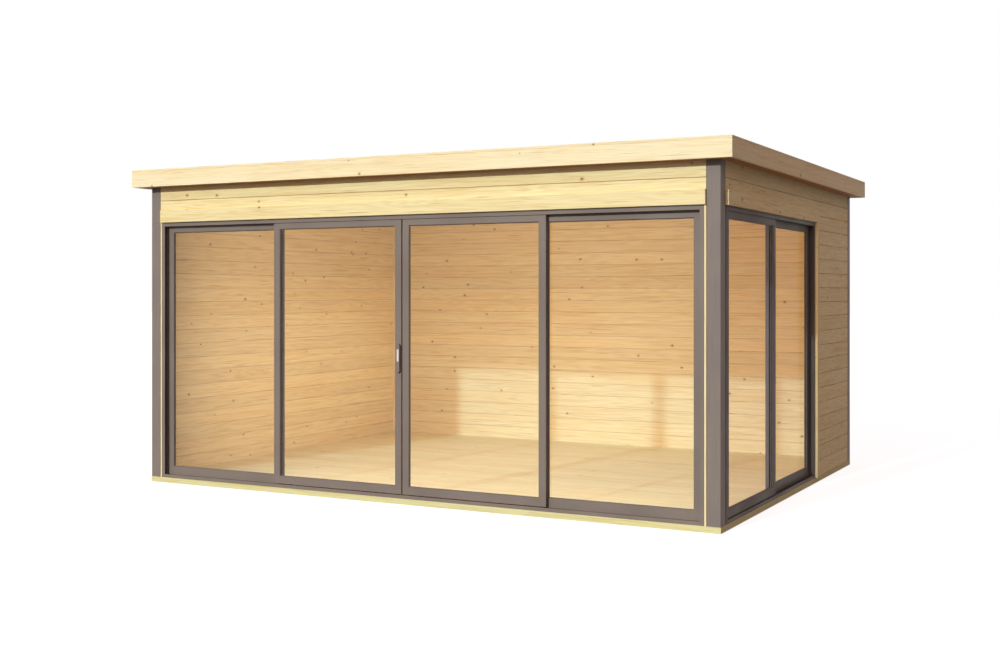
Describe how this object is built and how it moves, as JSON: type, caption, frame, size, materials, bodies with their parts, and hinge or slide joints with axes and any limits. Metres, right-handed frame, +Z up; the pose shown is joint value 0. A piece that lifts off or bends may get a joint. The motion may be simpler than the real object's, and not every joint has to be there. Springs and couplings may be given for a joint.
{
  "type": "garden room",
  "caption": "Flat-roofed wooden garden room with sliding glass walls across the front and the front half of the right side.",
  "frame": {"origin": "on the ground at the centre of the roof's outline", "axes": "+X right along the glazed front, +Y from the front to the back, +Z up"},
  "size_m": [4.838, 3.75, 2.434],
  "materials": {
    "spruce": "planed spruce, untreated",
    "treated_base": "pressure-treated, pale green-yellow",
    "floor_boards": "planed boards",
    "grey_post": "warm grey paint",
    "door_metal": "warm grey powder coat",
    "glass": "clear safety glass",
    "handle": "warm grey powder coat",
    "nylon": "matt",
    "roof_sheet": "matt rubber sheet"
  },
  "bodies": {
    "house": {"base_long_beams": "treated_base", "base_short_beams": "treated_base", "floor_bearers": "treated_base", "floor": "floor_boards", "front_posts": "grey_post", "back_posts": "grey_post", "wall_left": "spruce", "wall_back": "spruce", "wall_right": "spruce", "header_front": "spruce", "header_right": "spruce", "lintel_front": "spruce", "lintel_right": "spruce", "head_trims": "spruce", "door_casing": "spruce", "jamb_studs": "spruce", "front_head": "door_metal", "front_threshold": "door_metal", "front_jambs": "door_metal", "side_head": "door_metal", "side_threshold": "door_metal", "side_jambs": "door_metal", "front_fixed_sashes": "door_metal", "front_fixed_glass": "glass", "side_fixed_sash": "door_metal", "side_fixed_glass": "glass", "roof_joists": "spruce", "eave_ladders": "spruce", "roof_deck": "floor_boards", "roof_covering": "roof_sheet", "fascia_long": "spruce", "fascia_short": "spruce", "soffit": "floor_boards", "edge_lath": "spruce"},
    "left_door": {"left_door_sash": "door_metal", "left_door_glass": "glass", "left_door_rollers": "nylon", "pull_handle": "handle"},
    "right_door": {"right_door_sash": "door_metal", "right_door_glass": "glass", "right_door_rollers": "nylon"},
    "side_door": {"side_door_sash": "door_metal", "side_door_glass": "glass", "side_door_rollers": "nylon"}
  },
  "joints": [
    {"name": "left_slide", "type": "slide", "parent": "house", "child": "left_door", "axis": [-1, 0, 0], "range_m": [0, 1.05]},
    {"name": "right_slide", "type": "slide", "parent": "house", "child": "right_door", "axis": [1, 0, 0], "range_m": [0, 1.05]},
    {"name": "side_slide", "type": "slide", "parent": "house", "child": "side_door", "axis": [0, 1, 0], "range_m": [0, 1.05]}
  ]
}
